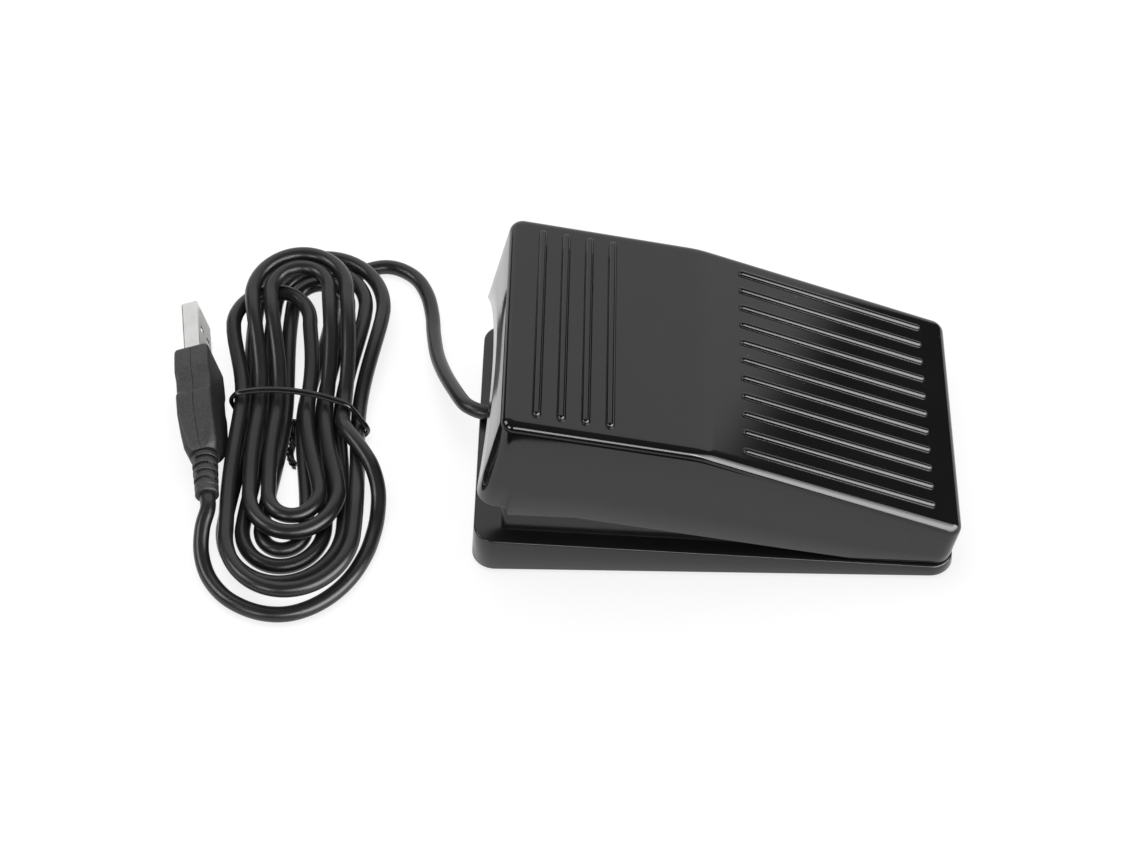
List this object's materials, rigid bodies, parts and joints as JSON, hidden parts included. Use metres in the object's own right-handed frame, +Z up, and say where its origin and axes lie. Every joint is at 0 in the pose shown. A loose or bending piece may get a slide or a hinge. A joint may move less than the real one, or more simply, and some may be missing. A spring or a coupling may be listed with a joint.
{
  "type": "foot pedal switch",
  "caption": "Foot switch: a ribbed, sloping pedal hinged on a wedge-shaped base, sprung up over a lever switch, with a plug-ended cord wound in a tied hank.",
  "frame": {"origin": "on the floor under the middle of the base, at the bottom of the rubber feet", "axes": "+X from the toe end, where the cord leaves, to the heel end with the hinge; +Z up"},
  "size_m": [0.2024, 0.1246, 0.0532],
  "materials": {
    "base_plastic": "fine moulded satin",
    "pedal_plastic": "polished moulding",
    "foot_rubber": "matte",
    "pin_steel": "ground",
    "spring_steel": "bright",
    "switch_plastic": "satin",
    "blade_brass": "bright",
    "screw_steel": "bright zinc",
    "board_green": "solder mask",
    "chip_black": "matte",
    "crystal_metal": "bright",
    "capacitor_tan": "matte",
    "header_white": "satin",
    "core_coat": "satin",
    "plunger_red": "satin",
    "cord_jacket": "satin",
    "tie_plastic": "glossy",
    "plug_plastic": "fine grain",
    "plug_metal": "nickel"
  },
  "bodies": {
    "base": {"base_tray": "base_plastic", "rubber_feet": "foot_rubber", "hinge_pin": "pin_steel", "return_springs": "spring_steel", "switch_case": "switch_plastic", "switch_terminals": "blade_brass", "switch_screws": "screw_steel", "circuit_board": "board_green", "controller_chip": "chip_black", "crystal": "crystal_metal", "capacitors": "capacitor_tan", "wire_header": "header_white", "board_screws": "screw_steel", "cord_clamp": "base_plastic", "clamp_screws": "screw_steel", "cord_cores": "core_coat", "switch_wires": "core_coat", "cord_lead": "cord_jacket", "cord_hank": "cord_jacket", "cord_tail": "cord_jacket", "cord_tie": "tie_plastic", "plug_relief": "plug_plastic", "plug_overmould": "plug_plastic", "plug_shell": "plug_metal", "plug_tongue": "header_white", "plug_contacts": "blade_brass"},
    "pedal": {"pedal_shell": "pedal_plastic"},
    "lever": {"switch_lever": "spring_steel"},
    "plunger": {"switch_plunger": "plunger_red"}
  },
  "joints": [
    {"name": "pedal_hinge", "type": "hinge", "parent": "base", "child": "pedal", "pos_m": [0.0382, 0, 0.01], "axis": [0, -1, 0], "range_deg": [0, 5], "stiffness_Nm_per_rad": 7, "springref_deg": -2.86, "deforming": ["return_springs"]},
    {"name": "lever_hinge", "type": "hinge", "parent": "base", "child": "lever", "pos_m": [-0.0173, 0, 0.0208], "axis": [0, 1, 0], "range_deg": [0, 11.5]},
    {"name": "plunger_slide", "type": "slide", "parent": "base", "child": "plunger", "axis": [0, 0, -1], "range_m": [0, 0.001]}
  ],
  "couplings": [
    {"joint": "lever_hinge", "follows": "pedal_hinge", "ratio": 2.2},
    {"joint": "plunger_slide", "follows": "pedal_hinge", "m_per_rad": 0.0103}
  ]
}
